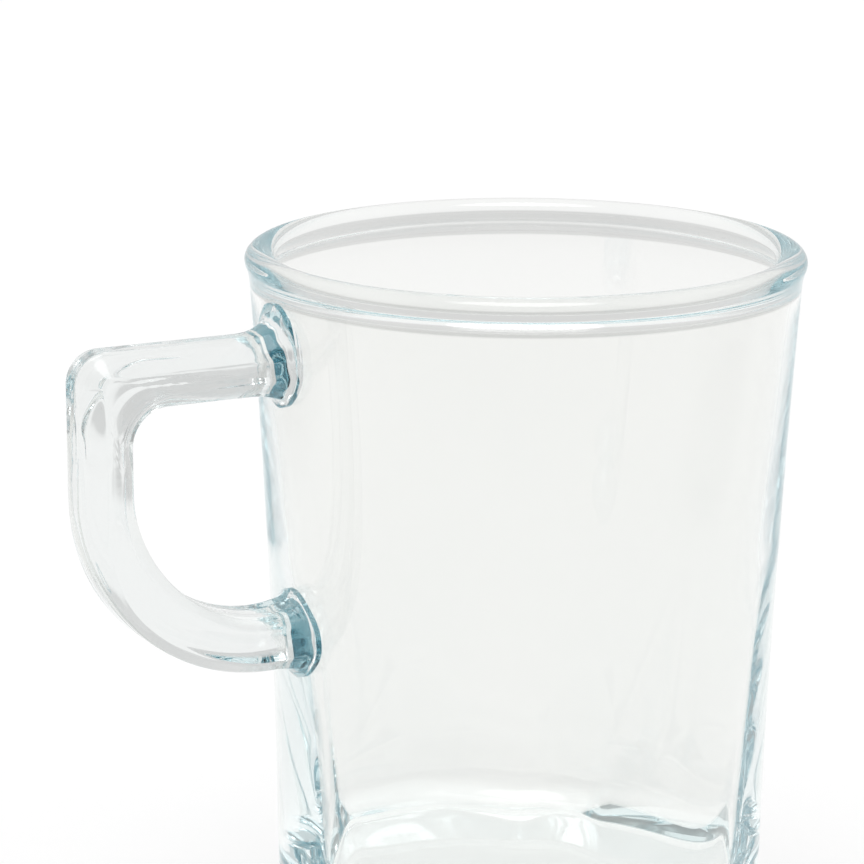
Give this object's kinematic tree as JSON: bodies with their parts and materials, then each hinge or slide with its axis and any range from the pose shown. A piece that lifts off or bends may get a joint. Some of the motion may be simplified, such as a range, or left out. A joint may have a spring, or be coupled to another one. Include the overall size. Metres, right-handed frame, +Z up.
{
  "type": "glass coffee mug",
  "caption": "Clear glass coffee mug: round beaded rim, bell-sided cup easing into a rounded hexagonal foot, thick base, and an angular chamfered strap handle joined to the wall.",
  "frame": {"origin": "on the cup's axis, in the plane of its flat underside", "axes": "+Z up along the cup's axis, handle along -X, the handle's middle plane at Y = 0"},
  "size_m": [0.11, 0.08, 0.104],
  "materials": {
    "cup_glass": "clear, fire-polished, faintly blue-green in the thick edges",
    "handle_glass": "clear, fire-polished, slightly wavy"
  },
  "bodies": {
    "root": {"cup_body": "cup_glass", "handle": "handle_glass"}
  },
  "joints": []
}
